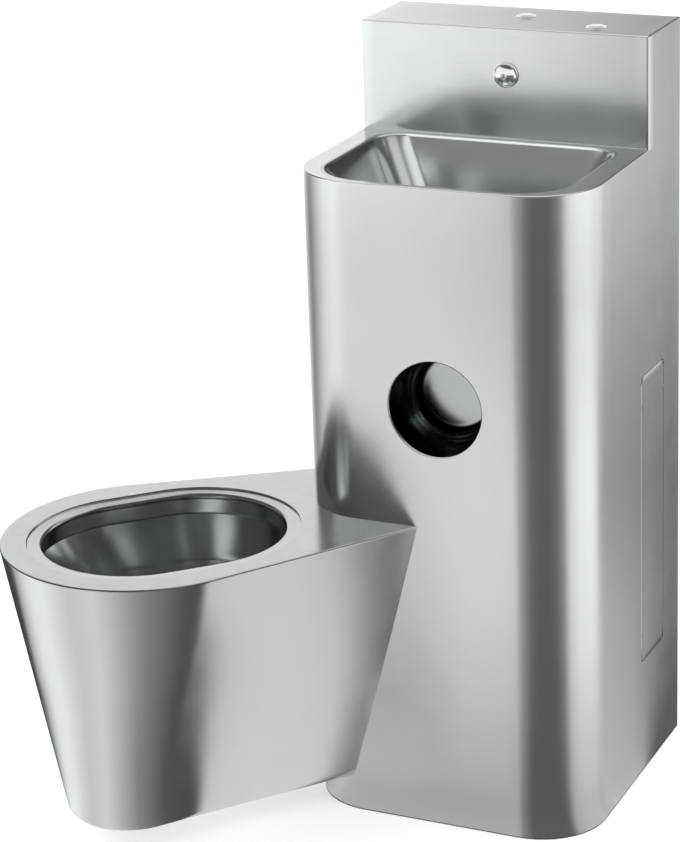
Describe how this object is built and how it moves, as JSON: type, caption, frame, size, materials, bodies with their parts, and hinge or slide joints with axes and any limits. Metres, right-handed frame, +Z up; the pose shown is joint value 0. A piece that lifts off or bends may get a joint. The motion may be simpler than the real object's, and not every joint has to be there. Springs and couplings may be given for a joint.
{
  "type": "toilet and washbasin unit",
  "caption": "Floor-standing stainless steel cabinet with a basin, spout, push buttons and roll recess on top and front, and a toilet pan angled off its left front corner.",
  "frame": {"origin": "on the floor, at the wall, on the middle line of the cabinet", "axes": "+X to the right along the front as the user faces it, +Y back into the wall, +Z up"},
  "size_m": [0.7151, 0.7081, 1.0035],
  "materials": {
    "satin_steel": "satin brushed stainless steel, 1.5 mm sheet",
    "inner_steel": "finer, brighter satin stainless steel inside the bowls and pipes",
    "chrome_trim": "polished chrome",
    "black_rubber": "black rubber seals and sleeve",
    "valve_brass": "plain turned brass",
    "spring_wire": "spring and screw steel",
    "steel_bar": "plain flat bar, mill finish",
    "air_hose": "black air hose and bellows"
  },
  "bodies": {
    "unit": {"cabinet_shell": "satin_steel", "deck_plate": "satin_steel", "splash_cover": "satin_steel", "wall_frame": "steel_bar", "floor_frame": "steel_bar", "roll_holder": "inner_steel", "hatch_frame": "steel_bar", "basin_bowl": "inner_steel", "basin_waste": "chrome_trim", "basin_grid": "chrome_trim", "waste_seal": "black_rubber", "waste_nut": "chrome_trim", "bottle_trap": "chrome_trim", "trap_cup": "chrome_trim", "basin_outlet_pipe": "chrome_trim", "spout": "chrome_trim", "spout_seal": "black_rubber", "spout_nut": "valve_brass", "spout_tube": "chrome_trim", "basin_valve": "valve_brass", "basin_inlet_pipe": "valve_brass", "basin_button_collar": "chrome_trim", "basin_button_nut": "valve_brass", "basin_button_spring": "spring_wire", "flush_button_collar": "chrome_trim", "flush_button_nut": "valve_brass", "flush_button_spring": "spring_wire", "flush_bellows": "air_hose", "air_tube": "air_hose", "flush_valve": "valve_brass", "flush_inlet_pipe": "valve_brass", "flush_pipe_upper": "inner_steel", "flush_union": "valve_brass", "flush_pipe_lower": "inner_steel", "flush_pipe_seal": "black_rubber", "pan_skirt": "satin_steel", "pan_top": "satin_steel", "flushing_rim": "inner_steel", "pan_bowl": "inner_steel", "pan_trap": "inner_steel", "trap_coupling": "black_rubber", "waste_pipe": "inner_steel", "waste_bend": "inner_steel", "outlet_pipe": "inner_steel"},
    "basin_push": {"basin_button": "chrome_trim"},
    "flush_push": {"flush_button": "chrome_trim"},
    "hatch": {"access_hatch": "satin_steel", "hatch_screws": "spring_wire"}
  },
  "joints": [
    {"name": "basin_button_press", "type": "slide", "parent": "unit", "child": "basin_push", "axis": [0, 0, 1], "range_m": [-0.004, 0], "stiffness_N_per_m": 600, "springref_m": 0.003, "deforming": ["basin_button_spring"]},
    {"name": "flush_button_press", "type": "slide", "parent": "unit", "child": "flush_push", "axis": [0, 0, 1], "range_m": [-0.004, 0], "stiffness_N_per_m": 600, "springref_m": 0.003, "deforming": ["flush_button_spring"]},
    {"name": "hatch_off", "type": "slide", "parent": "unit", "child": "hatch", "axis": [1, 0, 0], "range_m": [0, 0.08]}
  ]
}
